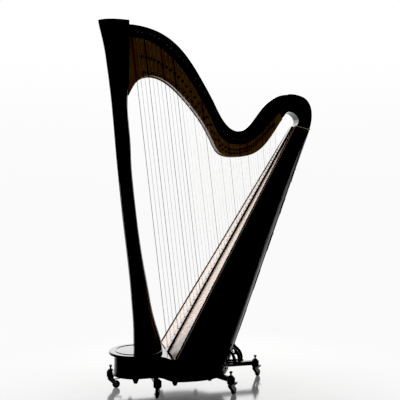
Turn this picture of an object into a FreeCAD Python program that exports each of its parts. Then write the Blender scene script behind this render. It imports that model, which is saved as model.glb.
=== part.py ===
import FreeCAD, Part
import math
import os

# Concert harp on its transport dolly, in millimetres.
# X runs from the column (front) to the pedals (back), Y from the string side
# (the harp's left) to its right, Z up. The floor is z = 0 and the origin is
# the middle of the bounding box's bottom face. Lengths along X below are
# measured from the middle of the column's foot; column_foot_x moves them all.

V = FreeCAD.Vector
os.makedirs("parts", exist_ok=True)
doc = FreeCAD.newDocument("ConcertHarp")

# ---------------------------------------------------------------- dimensions
DIMENSIONS = {
    # placing
    "column_foot_x": -328.9,
    # dolly
    "beam_width": 22.0, "beam_wall": 2.0, "beam_bottom": 72.0, "beam_y": 70.0,
    "housing_radius": 21.0, "housing_bottom": 62.0, "housing_height": 43.0,
    "beam_length": 775.0,
    "knob_radius": 8.0, "knob_height": 14.0, "stem_radius": 5.0,
    "wheel_radius": 20.0, "wheel_width": 16.0, "trail": 30.0, "axle_radius": 3.0,
    "cheek_thick": 2.0, "stem_length": 34.0, "lever_x": 17.0, "lever_drop": 14.0,
    "lever_pin_radius": 1.5, "running_gap": 0.05,
    # base
    "base_bottom": 94.0, "floor_thick": 10.0, "lid_top": 201.0, "lid_thick": 12.0,
    "wall_thick": 12.0, "front_radius": 113.0, "front_x": -66.0, "half_width": 220.0,
    "lip": 9.0, "plinth_radius": 141.0, "plinth_thick": 14.0,
    "foot_radius": 19.0, "foot_tip_radius": 8.5, "foot_height": 25.0,
    # soundbox
    "board_x": 107.0, "board_tilt": 30.5, "board_thick": 6.0, "half_bottom": 200.0,
    "half_top": 36.0, "depth_bottom": 332.0, "depth_top": 103.0, "board_length": 1392.0,
    "shell_thick": 7.0, "strip_proud": 10.0, "moulding_width": 14.0, "moulding_thick": 5.0,
    "joint_z": 1412.0, "joint_tilt": 12.0, "joint_thick": 6.0,
    # neck
    "neck_back_x": -107.0, "neck_thick": 50.0, "plate_thick": 3.0, "shoulder_thick": 72.0,
    "neck_offset": 10.0, "string_gap": 27.0, "string_count": 47.0,
    # column
    "cap_bottom": 1790.0, "cap_top": 1933.0, "tube_radius": 14.0, "tube_wall": 2.0,
    "rod_radius": 1.6,
    # pedals
    "pivot_x": 180.0, "pivot_z": 148.0, "pivot_radius": 5.0, "arm_width": 8.0,
    "arm_height": 12.0, "hub_radius": 11.0, "pedal_reach": 70.0, "tip_length": 88.0,
    "tip_width": 26.0, "tip_thick": 8.0, "hinge_radius": 7.0, "pin_radius": 2.5,
    "tip_lean": 18.0,
}
sheet = doc.addObject("Spreadsheet::Sheet", "Dimensions")
for row, (alias, value) in enumerate(DIMENSIONS.items(), start=1):
    sheet.set(f"A{row}", alias)
    sheet.set(f"B{row}", str(value))
    sheet.setAlias(f"B{row}", alias)
doc.recompute()


def dim(alias):
    return float(sheet.get(alias))


SHIFT = V(dim("column_foot_x"), 0, 0)
sub_parts = []


def place(item, label, rotation=None, at=V(0, 0, 0)):
    """Name a finished sub-part and put it where it belongs."""
    item.Label = label
    item.Placement = FreeCAD.Placement(SHIFT + at, rotation or FreeCAD.Rotation())
    sub_parts.append(item)
    return item


def feature(label, shape, rotation=None, at=V(0, 0, 0)):
    """A sub-part whose shape is worked out with Part's own functions."""
    item = doc.addObject("Part::Feature", label)
    item.Shape = shape
    return place(item, label, rotation, at)


# ------------------------------------------------------------ body helpers
def new_sketch(body, role, edges, lift=0.0):
    """A sketch on one of the body's own origin planes, with closed outlines."""
    sketch = body.newObject("Sketcher::SketchObject", body.Label + "Sketch")
    plane = next(f for f in body.Origin.OriginFeatures if f.Role == role)
    sketch.AttachmentSupport = (plane, [""])
    sketch.MapMode = "FlatFace"
    sketch.AttachmentOffset = FreeCAD.Placement(V(0, 0, lift), FreeCAD.Rotation())
    for edge in edges:
        sketch.addGeometry(edge, False)
    return sketch


def closed(points):
    """Straight edges round a list of flat points."""
    corners = [V(x, y, 0) for x, y in points]
    return [Part.LineSegment(a, b) for a, b in zip(corners, corners[1:] + corners[:1])]


def smooth(points):
    """One smooth curve through a list of flat points."""
    curve = Part.BSplineCurve()
    curve.interpolate([V(x, y, 0) for x, y in points])
    return curve


def circle(x, y, radius):
    return Part.Circle(V(x, y, 0), V(0, 0, 1), radius)


def new_body(label):
    body = doc.addObject("PartDesign::Body", label)
    body.Label = label
    return body


def add_pad(body, role, edges, length, centred=False, lift=0.0, back=False):
    """Pad a sketch; length is a spreadsheet alias or an expression of them."""
    pad = body.newObject("PartDesign::Pad", body.Label + "Pad")
    pad.Profile = new_sketch(body, role, edges, lift)
    pad.SideType = "Symmetric" if centred else "One side"
    pad.Reversed = back
    pad.setExpression("Length", length)
    doc.recompute()
    return pad


def add_cut(body, role, edges, length, lift=0.0, back=False, centred=False):
    """Cut a pocket and make sure that it removed something."""
    before = body.Shape.Volume
    pocket = body.newObject("PartDesign::Pocket", body.Label + "Pocket")
    pocket.Profile = new_sketch(body, role, edges, lift)
    pocket.SideType = "Symmetric" if centred else "One side"
    pocket.Reversed = back
    pocket.setExpression("Length", length)
    doc.recompute()
    if body.Shape.Volume > before - 1e-3:
        raise RuntimeError("pocket removed nothing from " + body.Label)
    return pocket


def add_turn(body, edges):
    """Turn an outline drawn on XZ right round the body's Z axis."""
    turn = body.newObject("PartDesign::Revolution", body.Label + "Turn")
    turn.Profile = new_sketch(body, "XZ_Plane", edges)
    axis = next(f for f in body.Origin.OriginFeatures if f.Role == "Z_Axis")
    turn.ReferenceAxis = (axis, [""])
    turn.Angle = 360
    doc.recompute()
    return turn


def rod(start, end, radius):
    """A plain round rod between two points."""
    run = end - start
    return Part.makeCylinder(radius, run.Length, start, run)


def slab(x0, x1, y0, y1, z0, z1):
    return Part.makeBox(x1 - x0, y1 - y0, z1 - z0, V(x0, y0, z0))


# ------------------------------------------------------------------- column
# Each level: height, front and back of the section, half its width across.
COLUMN_LEVELS = [
    (215, -77, 73, 72), (280, -79, 62, 64), (354, -81, 39, 55), (474, -90, 11, 46),
    (580, -99, -8, 42), (791, -123, -43, 40), (1001, -148, -69, 40),
    (1209, -169, -88, 40), (1417, -187, -102, 42), (1521, -197, -107, 44),
    (1599, -206, -101, 47), (1729, -223, -86, 51), (1832, -241, -69, 55),
    (1881, -253, -60, 58), (1933, -264, -50, 60),
]


def column_solid():
    sections = []
    for height, front, back, half in COLUMN_LEVELS:
        along = (back - front) / 2
        middle = V((front + back) / 2, 0, height)
        points = []
        for step in range(24):
            turn = 2 * math.pi * step / 24
            points.append(middle + V(along * math.cos(turn), half * math.sin(turn), 0))
        curve = Part.BSplineCurve()
        curve.interpolate(points, PeriodicFlag=True)
        sections.append(Part.Wire([curve.toShape()]))
    solid = Part.makeLoft(sections, True, False)
    behind_neck = slab(dim("neck_back_x"), 100, -100, 100, 1521, 2000)
    return solid.cut(behind_neck)


TUBE_LOW = V(-8, 0, 160)
TUBE_HIGH = V(-158, 0, 1650)


def make_column():
    solid = column_solid()
    bore = rod(TUBE_LOW, TUBE_HIGH, dim("tube_radius") + dim("running_gap"))
    cap_cut = slab(-400, 100, -100, 100, dim("cap_bottom"), 2100)
    feature("column_shell", solid.cut(cap_cut).cut(bore))
    feature("column_cap", solid.common(cap_cut))
    outer = rod(TUBE_LOW, TUBE_HIGH, dim("tube_radius"))
    inner = rod(TUBE_LOW, TUBE_HIGH, dim("tube_radius") - dim("tube_wall"))
    feature("column_tube", outer.cut(inner))
    axis = (TUBE_HIGH - TUBE_LOW).normalize()
    across = V(0, 1, 0)
    other = axis.cross(across)
    rods = [rod(TUBE_LOW, TUBE_HIGH, dim("rod_radius"))]
    for step in range(6):
        turn = math.radians(60 * step)
        offset = across * (7 * math.cos(turn)) + other * (7 * math.sin(turn))
        rods.append(rod(TUBE_LOW + offset, TUBE_HIGH + offset, dim("rod_radius")))
    feature("pedal_rods", Part.Compound(rods))


# --------------------------------------------------------------------- neck
NECK_TOP = [
    (-107, 1922), (-34, 1916), (62, 1888), (159, 1823), (224, 1749), (291, 1646),
    (358, 1528), (425, 1415), (460, 1386), (494, 1377), (528, 1386), (563, 1415),
    (632, 1504), (703, 1565), (780, 1588),
]
PLATE_TOP = [
    (-107, 1855), (-59, 1854), (-17, 1848), (69, 1804), (155, 1732), (242, 1617),
    (287, 1544), (345, 1436), (404, 1337), (445, 1312), (492, 1306), (558, 1319),
    (605, 1352), (680, 1424), (738, 1492),
]
PLATE_BOTTOM = [
    (-107, 1546), (-75, 1607), (-43, 1641), (-1, 1656), (53, 1650), (112, 1619),
    (176, 1563), (221, 1514), (304, 1404), (350, 1318), (390, 1257), (430, 1240),
    (485, 1238), (551, 1246), (613, 1275), (665, 1326), (696, 1368), (752, 1450),
]
SHOULDER_BACK = [
    (780, 1588), (809, 1589), (846, 1583), (882, 1568), (911, 1532), (921, 1486),
    (918, 1440),
]
SHOULDER_INSIDE = [(840, 1452), (818, 1480), (780, 1490)]
WOOD_INSET = 5.0
TILT = math.radians(dim("board_tilt"))
JOINT_X = dim("board_x") + (dim("joint_z") - dim("lid_top")) * math.tan(TILT)


def on_joint(x):
    """A point of the shoulder's foot, on top of the slanted joint strip."""
    tilt = math.radians(dim("joint_tilt"))
    top = dim("joint_z") + dim("joint_thick") / math.cos(tilt)
    return (x, top - (x - JOINT_X) * math.tan(tilt))


def segment(a, b):
    return Part.LineSegment(V(a[0], a[1], 0), V(b[0], b[1], 0))


def make_neck():
    body = new_body("neck")
    under = [(x, z + WOOD_INSET) for x, z in PLATE_BOTTOM]
    end = SHOULDER_INSIDE[-1]
    outline = [
        smooth(NECK_TOP),
        segment(NECK_TOP[-1], end),
        segment(end, under[-1]),
        smooth(under),
        segment(under[0], NECK_TOP[0]),
    ]
    add_pad(body, "XZ_Plane", outline, "Dimensions.neck_thick", centred=True)
    place(body, "neck", None, V(0, dim("neck_offset"), 0))


def make_plate(label, back):
    body = new_body(label)
    outline = [
        smooth(PLATE_TOP),
        segment(PLATE_TOP[-1], PLATE_BOTTOM[-1]),
        smooth(PLATE_BOTTOM),
        segment(PLATE_BOTTOM[0], PLATE_TOP[0]),
    ]
    lift = dim("neck_thick") / 2
    add_pad(body, "XZ_Plane", outline, "Dimensions.plate_thick",
            lift=-lift if back else lift, back=back)
    place(body, label, None, V(0, dim("neck_offset"), 0))


def make_shoulder():
    body = new_body("shoulder_block")
    back = SHOULDER_BACK + [on_joint(908)]
    inside = [on_joint(829)] + SHOULDER_INSIDE
    outline = [
        smooth(back),
        segment(back[-1], inside[0]),
        smooth(inside),
        segment(inside[-1], back[0]),
    ]
    add_pad(body, "XZ_Plane", outline, "Dimensions.shoulder_thick", centred=True)
    place(body, "shoulder_block")


# ----------------------------------------------------------------- soundbox
BOARD_UP = V(math.sin(TILT), 0, math.cos(TILT))
BOARD_IN = V(math.cos(TILT), 0, -math.sin(TILT))
BOARD_LOW = V(dim("board_x"), 0, dim("lid_top"))


def board_point(up, across, inward):
    """A point given along the board, across it and into the soundbox."""
    return BOARD_LOW + BOARD_UP * up + V(0, across, 0) + BOARD_IN * inward


def half_width(up):
    share = up / dim("board_length")
    return dim("half_bottom") + (dim("half_top") - dim("half_bottom")) * share


def depth(up):
    share = up / dim("board_length")
    return dim("depth_bottom") + (dim("depth_top") - dim("depth_bottom")) * share


def under_joint():
    """Everything below the slanted joint and above the lid of the base."""
    block = Part.makeBox(3000, 800, 2200, V(-1500, -400, -2200))
    block.rotate(V(0, 0, 0), V(0, 1, 0), dim("joint_tilt"))
    block.translate(V(JOINT_X, 0, dim("joint_z")))
    return block.cut(slab(-900, 1900, -500, 500, -1500, dim("lid_top")))


def soundbox_loft(grow, front):
    """The half-oval body of the soundbox, grown or shrunk all round."""
    sections = []
    for up in (-260, dim("board_length") + 160):
        half = half_width(up) + grow
        deep = depth(up) + grow - front
        points = []
        for step in range(13):
            turn = math.pi * step / 12
            wide = math.copysign(abs(math.cos(turn)) ** 0.86, math.cos(turn))
            points.append(board_point(up, half * wide, front + deep * math.sin(turn) ** 0.94))
        curve = Part.BSplineCurve()
        curve.interpolate(points)
        sections.append(Part.Wire([curve.toShape(), Part.makeLine(points[-1], points[0])]))
    return Part.makeLoft(sections, True, True)


SOUND_HOLES = [(330, 165, 52), (560, 145, 46), (780, 125, 40), (985, 105, 34), (1170, 85, 27)]


def sound_hole(up, length, half):
    """One oval hole through the back, rounded at both ends."""
    start = board_point(up, 0, depth(up) * 0.55)
    run = BOARD_IN * (depth(up) * 0.7)
    straight = length / 2 - half
    corners = []
    for along, across in ((-straight, -half), (straight, -half), (straight, half), (-straight, half)):
        corners.append(start + BOARD_UP * along + V(0, across, 0))
    middle = Part.Face(Part.makePolygon(corners + corners[:1])).extrude(run)
    for along in (-straight, straight):
        middle = middle.fuse(Part.makeCylinder(half, run.Length, start + BOARD_UP * along, run))
    return middle


def make_soundbox():
    zone = under_joint()
    outer = soundbox_loft(0, dim("board_thick"))
    inner = soundbox_loft(-dim("shell_thick"), dim("board_thick") - 1)
    holes = [sound_hole(*hole) for hole in SOUND_HOLES]
    shell = outer.cut(inner).common(zone)
    for hole in holes:
        shell = shell.cut(hole)
    feature("soundbox_shell", shell)

    strip = soundbox_loft(3, dim("board_thick")).cut(outer).common(zone)
    blade = [board_point(up, side * (14 + half_width(up) * 0.25), 20)
             for up, side in ((-260, -1), (1600, -1), (1600, 1), (-260, 1))]
    zone_strip = Part.Face(Part.makePolygon(blade + blade[:1])).extrude(BOARD_IN * 600)
    strip = strip.common(zone_strip)
    for hole in holes:
        strip = strip.cut(hole)
    feature("back_strip", strip)

    corners = [board_point(up, side * half_width(up), 0)
               for up, side in ((-60, -1), (1600, -1), (1600, 1), (-60, 1))]
    board = Part.Face(Part.makePolygon(corners + corners[:1])).extrude(BOARD_IN * dim("board_thick"))
    feature("soundboard", board.common(zone))

    corners = [board_point(up, side * (9 + half_width(up) * 0.06), 0)
               for up, side in ((-60, -1), (1600, -1), (1600, 1), (-60, 1))]
    rib = Part.Face(Part.makePolygon(corners + corners[:1])).extrude(BOARD_IN * -dim("strip_proud"))
    feature("centre_strip", rib.common(zone))

    mouldings = []
    for side in (-1, 1):
        corners = []
        for up, inset in ((-60, 0), (1600, 0), (1600, 1), (-60, 1)):
            across = half_width(up) - inset * dim("moulding_width") * (0.5 if up > 0 else 1)
            corners.append(board_point(up, side * across, 0))
        face = Part.Face(Part.makePolygon(corners + corners[:1]))
        mouldings.append(face.extrude(BOARD_IN * -dim("moulding_thick")).common(zone))
    feature("edge_mouldings", Part.Compound([piece.Solids[0] for piece in mouldings]))

    inside = soundbox_loft(-dim("shell_thick") - 0.3, dim("board_thick") + 0.3)
    ribs = []
    for up in (180, 420, 660, 880, 1080, 1260):
        corners = [board_point(up - 7, -400, 0), board_point(up + 7, -400, 0),
                   board_point(up + 7, 400, 0), board_point(up - 7, 400, 0)]
        bar = Part.Face(Part.makePolygon(corners + corners[:1])).extrude(BOARD_IN * 30)
        ribs.append(bar.common(inside).Solids[0])
    feature("soundbox_ribs", Part.Compound(ribs))


def make_joint_strip():
    body = new_body("joint_strip")
    outline = closed([(0, 0), (93, 0), (93, dim("joint_thick")), (0, dim("joint_thick"))])
    add_pad(body, "XZ_Plane", outline, "Dimensions.shoulder_thick", centred=True)
    turn = FreeCAD.Rotation(V(0, 1, 0), dim("joint_tilt"))
    place(body, "joint_strip", turn, V(JOINT_X, 0, dim("joint_z")))


# ------------------------------------------------------------------ strings
def crossing(points, offset, x_at_1000, lean):
    """Where a leaning string line meets a contour moved down by offset."""
    curve = smooth(points)
    best = None
    for share in range(601):
        spot = curve.value(curve.FirstParameter
                           + (curve.LastParameter - curve.FirstParameter) * share / 600)
        gap = abs(x_at_1000 + lean * (1000 - spot.y + offset) - spot.x)
        if best is None or gap < best[0]:
            best = (gap, spot)
    return best[1].y - offset


PLATE_FACE = dim("neck_thick") / 2 + dim("plate_thick") - dim("neck_offset")


def string_table():
    """Number, lean, place, foot, bridge, tuning pin and side reach of every string."""
    count = int(dim("string_count"))
    rows = []
    x_at_1000 = 12.0
    for number in range(count):
        share = number / (count - 1)
        lean = 0.12 + 0.02 * share
        slope = math.tan(TILT)
        proud = dim("strip_proud") / math.cos(TILT)
        foot_z = (x_at_1000 + 1000 * lean - dim("board_x") + proud
                  + slope * dim("lid_top")) / (slope + lean)
        bridge_z = crossing(PLATE_TOP, 9 + 3 * (1 - share), x_at_1000, lean)
        pin_z = crossing(PLATE_TOP, -(30 - 8 * share), x_at_1000, lean)
        edge_z = crossing(PLATE_BOTTOM, 0, x_at_1000, lean)
        clear = PLATE_FACE + 1.8
        out = max(dim("string_gap"), clear * (bridge_z - foot_z) / (edge_z - foot_z))
        rows.append((number, lean, x_at_1000, foot_z, bridge_z, pin_z, out))
        x_at_1000 += 22.3 - 11.6 * number / (count - 2)
    return rows


STRINGS = string_table()
DISC_NUMBER = 14
NO_DISCS = (0, 1, 46)


def string_x(row, height):
    return row[2] + row[1] * (1000 - height)


def string_radius(number):
    return 0.85 - 0.5 * number / 46


def make_strings():
    strings = []
    eyelets = []
    bridges = []
    tuners = []
    for row in STRINGS:
        number, lean, _, foot_z, bridge_z, pin_z, out = row
        radius = string_radius(number)
        foot = V(string_x(row, foot_z), 0, foot_z)
        pin_radius = 2.4 - 0.8 * number / 46
        low = foot + V(-0.9, 0, 0.6)
        top = V(string_x(row, bridge_z), -out, bridge_z)
        wood = dim("neck_thick") / 2 - dim("neck_offset")
        bridge = V(top.x + pin_radius + radius + 0.1, -wood, bridge_z)
        tuner = V(top.x + 8.5 + radius, 0, pin_z)
        above = V(tuner.x - 2.9 - radius, -out, pin_z)
        main = rod(low, top, radius)
        rise = rod(top + (above - top).normalize() * 0.4, above, radius)
        strings += [main, rise]
        outer = Part.makeCylinder(3.6, 1.2, foot, BOARD_IN * -1)
        hole = Part.makeCylinder(radius + 1.7, 60, foot + BOARD_IN * 30, BOARD_IN * -1)
        eyelets.append(outer.cut(hole))
        bridges.append(rod(bridge, V(bridge.x, -out - 5, bridge.z), pin_radius))
        tuners.append(rod(tuner + V(0, -out - 9, 0), tuner + V(0, 54, 0), 2.8))
    feature("strings", Part.Compound(strings))
    feature("string_eyelets", Part.Compound(eyelets))
    feature("bridge_pins", Part.Compound(bridges))
    feature("tuning_pins", Part.Compound(tuners))


def disc(row, fraction, radius, pin):
    """A fork disc on the plate: a round plate with two pins beside the string."""
    foot_z, bridge_z, out = row[3], row[4], row[6]
    height = bridge_z - (bridge_z - foot_z) * fraction
    share = (height - foot_z) / (bridge_z - foot_z)
    centre = V(string_x(row, height), -PLATE_FACE, height)
    shape = Part.makeCylinder(radius, 3, centre, V(0, -1, 0))
    long = out * share - PLATE_FACE + 4
    for side in (-1, 1):
        spot = centre + V(side * (radius - pin - 0.3), 0, 0)
        shape = shape.fuse(Part.makeCylinder(pin, long, spot, V(0, -1, 0)))
    return shape


def make_discs():
    """Natural and sharp discs: a semitone and a tone below the bridge pins."""
    for label, fraction in (("natural", 0.0561), ("sharp", 0.1091)):
        fixed = []
        for row in STRINGS:
            if row[0] in NO_DISCS:
                continue
            radius = 8.0 - 4.2 * row[0] / 46
            shape = disc(row, fraction, radius, 1.3 - 0.5 * row[0] / 46)
            if row[0] == DISC_NUMBER:
                feature(label + "_disc_c", shape)
            else:
                fixed.append(shape)
        feature(label + "_discs", Part.Compound(fixed))


# --------------------------------------------------------------------- base
def base_outline(rear_x, grow):
    """Half of the plan, front to back, moved outwards by grow."""
    radius = dim("front_radius")
    half = []
    for turn in (180, 155, 130, 105, 84):
        angle = math.radians(turn)
        half.append((dim("front_x") + radius * math.cos(angle), radius * math.sin(angle)))
    wide = dim("half_width")
    half += [(0, 112), (34, 117), (60, 138), (80, 178), (108, 209), (150, wide)]
    middle = 215
    for turn in (78, 60, 42, 25, 10, 0):
        angle = math.radians(turn)
        half.append((middle + (rear_x - middle) * math.cos(angle), wide * math.sin(angle)))
    whole = half + [(x, -y) for x, y in reversed(half[1:-1])]
    moved = []
    for index, (x, y) in enumerate(whole):
        before = whole[index - 1]
        after = whole[(index + 1) % len(whole)]
        dx, dy = after[0] - before[0], after[1] - before[1]
        size = math.hypot(dx, dy)
        moved.append((x - grow * dy / size, y + grow * dx / size))
    return moved


def base_solid(low, high, grow, rear_low=418.0, rear_high=462.0):
    """The plan lofted between two heights; the back follows the soundbox."""
    def wire(height):
        share = (height - dim("base_bottom")) / (dim("lid_top") - dim("base_bottom"))
        rear = rear_low + (rear_high - rear_low) * share
        curve = Part.BSplineCurve()
        curve.interpolate([V(x, y, height) for x, y in base_outline(rear, grow)], PeriodicFlag=True)
        return Part.Wire([curve.toShape()])
    return Part.makeLoft([wire(low), wire(high)], True, True)


PEDALS = {"d": -168.0, "c": -128.0, "b": -88.0, "e": 48.0, "f": 88.0, "g": 128.0, "a": 168.0}


def hinge_x(across):
    """How far back a pedal's hinge stands: a little behind the base's wall."""
    middle = 215
    rear = 440 - middle
    return middle + rear * math.sqrt(1 - (across / dim("half_width")) ** 2) + dim("pedal_reach")


def make_base():
    low = dim("base_bottom") + dim("floor_thick")
    high = dim("lid_top") - dim("lid_thick")
    walls = base_solid(low, high, 0).cut(base_solid(low - 1, high + 1, -dim("wall_thick")))
    for across in PEDALS.values():
        reach = dim("arm_width") / 2 + 4
        slot = slab(hinge_x(across) - 150, 520, across - reach, across + reach, low + 4, 172)
        walls = walls.cut(slot)
    tube_hole = rod(TUBE_LOW, TUBE_HIGH, dim("tube_radius") + 1)
    feature("base_box", walls)
    feature("base_lid", base_solid(high, dim("lid_top"), 0).cut(tube_hole))
    feature("base_floor", base_solid(dim("base_bottom"), low, dim("lip")))

    body = new_body("plinth")
    add_pad(body, "XY_Plane", [circle(dim("front_x"), 0, dim("plinth_radius"))],
            "Dimensions.plinth_thick", lift=dim("lid_top"))
    middle = TUBE_LOW + (TUBE_HIGH - TUBE_LOW) * 0.035
    add_cut(body, "XY_Plane", [circle(middle.x, 0, dim("tube_radius") + 3)],
            "Dimensions.plinth_thick + 20", lift=dim("lid_top") + dim("plinth_thick") + 5)
    edges = [f"Edge{number + 1}" for number, edge in enumerate(body.Shape.Edges)
             if len(edge.Vertexes) == 1 and edge.Length > 300]
    last = body.Tip
    fillet = body.newObject("PartDesign::Fillet", "PlinthFillet")
    fillet.Base = (last, edges)
    fillet.Radius = 5
    doc.recompute()
    place(body, "plinth")

    feet = []
    for x, y in ((-82, 102), (105, 185), (296, 150)):
        for side in (-1, 1):
            base = V(x, side * y, dim("base_bottom") - dim("foot_height"))
            feet.append(Part.makeCone(dim("foot_tip_radius"), dim("foot_radius"), dim("foot_height"), base))
    feature("harp_feet", Part.Compound(feet))


# ------------------------------------------------------------------- pedals
def make_pedal(letter, across):
    """The arm on the pivot bar, and the foot plate hinged at its end."""
    end = hinge_x(across)
    length = end - dim("pivot_x")
    tall = dim("arm_height") / 2
    knuckle = dim("hinge_radius")
    body = new_body("pedal_arm_" + letter)
    outline = closed([(0, -tall), (length - knuckle, -tall), (length, 2 - knuckle), (length, knuckle - 2),
                      (length - knuckle, tall), (0, tall)])
    add_pad(body, "XZ_Plane", outline, "Dimensions.arm_width", centred=True)
    add_pad(body, "XZ_Plane", [circle(0, 0, dim("hub_radius"))], "Dimensions.arm_width", centred=True)
    add_pad(body, "XZ_Plane", [circle(length, 0, knuckle)], "Dimensions.arm_width", centred=True)
    gap = dim("running_gap")
    for x, radius in ((0, dim("pivot_radius")), (length, dim("pin_radius"))):
        add_cut(body, "XZ_Plane", [circle(x, 0, radius + gap)], "Dimensions.arm_width * 3", centred=True)
    place(body, "pedal_arm_" + letter, None, V(dim("pivot_x"), across, dim("pivot_z")))

    tip = new_body("pedal_tip_" + letter)
    long = dim("tip_length")
    thick = dim("tip_thick") / 2
    neck = [(knuckle + 3, -thick), (long - 6, -thick), (long, 0), (long - 6, thick),
            (knuckle + 3, thick)]
    add_pad(tip, "XZ_Plane", closed(neck), "Dimensions.tip_width", centred=True)
    ears = [(-2, -knuckle + 2), (knuckle + 6, -thick), (knuckle + 6, thick), (-2, knuckle - 2)]
    add_pad(tip, "XZ_Plane", closed(ears), "Dimensions.arm_width + 12", centred=True)
    add_pad(tip, "XZ_Plane", [circle(0, 0, knuckle)], "Dimensions.arm_width + 12", centred=True)
    slot = [(-knuckle - 3, -knuckle - 3), (knuckle + 2, -knuckle - 3),
            (knuckle + 2, knuckle + 3), (-knuckle - 3, knuckle + 3)]
    add_cut(tip, "XZ_Plane", closed(slot), "Dimensions.arm_width + 1", centred=True)
    add_pad(tip, "XZ_Plane", [circle(0, 0, dim("pin_radius"))], "Dimensions.arm_width + 12", centred=True)
    turn = FreeCAD.Rotation(V(0, 1, 0), -(90 + dim("tip_lean")))
    place(tip, "pedal_tip_" + letter, turn, V(end, across, dim("pivot_z")))


def coil_spring(x, y, low, high, radius, wire, turns):
    """A close coil spring standing between two heights."""
    pitch = (high - low - wire) / turns
    helix = Part.makeHelix(pitch, pitch * turns, radius)
    slope = V(0, 1, pitch / (2 * math.pi * radius))
    section = Part.Wire([Part.makeCircle(wire / 2, V(radius, 0, 0), slope)])
    coil = Part.Wire(helix.Edges).makePipeShell([section], True, True)
    coil.translate(V(x, y, low + wire / 2 + 0.2))
    return coil


def make_pedals():
    for letter, across in PEDALS.items():
        make_pedal(letter, across)
    wall = dim("half_width") - dim("wall_thick") - 3
    bar = doc.addObject("Part::Cylinder", "pedal_pivot_bar")
    bar.setExpression("Radius", "Dimensions.pivot_radius")
    bar.Height = 2 * wall
    flat = FreeCAD.Rotation(V(1, 0, 0), 90)
    place(bar, "pedal_pivot_bar", flat, V(dim("pivot_x"), wall, dim("pivot_z")))
    springs = []
    low = dim("pivot_z") + dim("arm_height") / 2 + 0.3
    high = dim("lid_top") - dim("lid_thick") - 0.5
    for across in PEDALS.values():
        springs.append(coil_spring(dim("pivot_x") + 70, across, low, high, 5, 1.4, 7))
    feature("pedal_springs", Part.Compound(springs))


# -------------------------------------------------------------------- dolly
# Each caster: where its swivel axis stands and which way its wheel trails.
CASTERS = {
    "front_right": (-190.0, 70.0, 7.0),
    "front_left": (17.0, -177.0, 84.0),
    "rear_left": (393.0, -209.5, 45.0),
    "rear_right": (623.0, 70.0, 43.0),
}
# Where each cross arm leaves the beam, and the caster that it carries.
ARMS = ((17.0, "front_left"), (250.0, "rear_left"))


def beam_start():
    """The beam ends just inside the front housing."""
    return CASTERS["front_right"][0] + dim("housing_radius") - 2


def beam_space():
    """The room that the whole beam fills."""
    side = dim("beam_width")
    start = beam_start()
    return slab(start, start + dim("beam_length"), dim("beam_y") - side / 2, dim("beam_y") + side / 2,
                dim("beam_bottom"), dim("beam_bottom") + side)


def make_beam():
    side = dim("beam_width")
    wall = dim("beam_wall")
    body = new_body("dolly_beam")
    outline = closed([(-side / 2, 0), (side / 2, 0), (side / 2, side), (-side / 2, side)])
    outline += closed([(-side / 2 + wall, wall), (side / 2 - wall, wall),
                       (side / 2 - wall, side - wall), (-side / 2 + wall, side - wall)])
    add_pad(body, "YZ_Plane", outline, "Dimensions.beam_length")
    place(body, "dolly_beam", None, V(beam_start(), dim("beam_y"), dim("beam_bottom")))


def square_bar(begin, run, inset):
    """A square bar laid along run, its faces moved in by inset."""
    side = dim("beam_width")
    across = V(-run.y, run.x, 0).normalize() * (side / 2 - inset)
    low = V(0, 0, inset)
    high = V(0, 0, side - inset)
    corners = [begin - across + low, begin + across + low, begin + across + high, begin - across + high]
    return Part.Face(Part.makePolygon(corners + corners[:1])).extrude(run)


def make_arms():
    arms = []
    for from_x, name in ARMS:
        x, y, _ = CASTERS[name]
        begin = V(from_x, dim("beam_y"), dim("beam_bottom"))
        run = V(x, y, dim("beam_bottom")) - begin
        arm = square_bar(begin, run, 0).cut(square_bar(begin, run, dim("beam_wall")))
        arm = arm.cut(beam_space())
        arm = arm.cut(Part.makeCylinder(dim("housing_radius"), 200, V(x, y, 0)))
        arms.append(max(arm.Solids, key=lambda piece: piece.Volume))
    feature("dolly_arms", Part.Compound(arms))


def make_housings():
    """The turned socket over each caster's stem, and the knob on top of it."""
    reach = dim("housing_radius")
    bottom = dim("housing_bottom")
    top = bottom + dim("housing_height")
    profile = Part.Face(Part.makePolygon([
        V(0, 0, bottom), V(reach - 3, 0, bottom), V(reach, 0, bottom + 4), V(reach, 0, top - 12),
        V(9, 0, top), V(0, 0, top), V(0, 0, bottom)]))
    socket = Part.makeCylinder(dim("stem_radius") + dim("running_gap"), dim("stem_length") + 2,
                               V(0, 0, bottom - 1))
    housings = []
    knobs = []
    for x, y, _ in CASTERS.values():
        housing = profile.revolve(V(0, 0, 0), V(0, 0, 1), 360).cut(socket)
        housing.translate(V(x, y, 0))
        housings.append(housing.cut(beam_space()).Solids[0])
        neck = Part.makeCylinder(4.5, 12, V(x, y, top))
        knobs.append(neck.fuse(Part.makeCylinder(dim("knob_radius"), 8, V(x, y, top + 12))))
    feature("caster_housings", Part.Compound(housings))
    feature("caster_knobs", Part.Compound(knobs))


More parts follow.
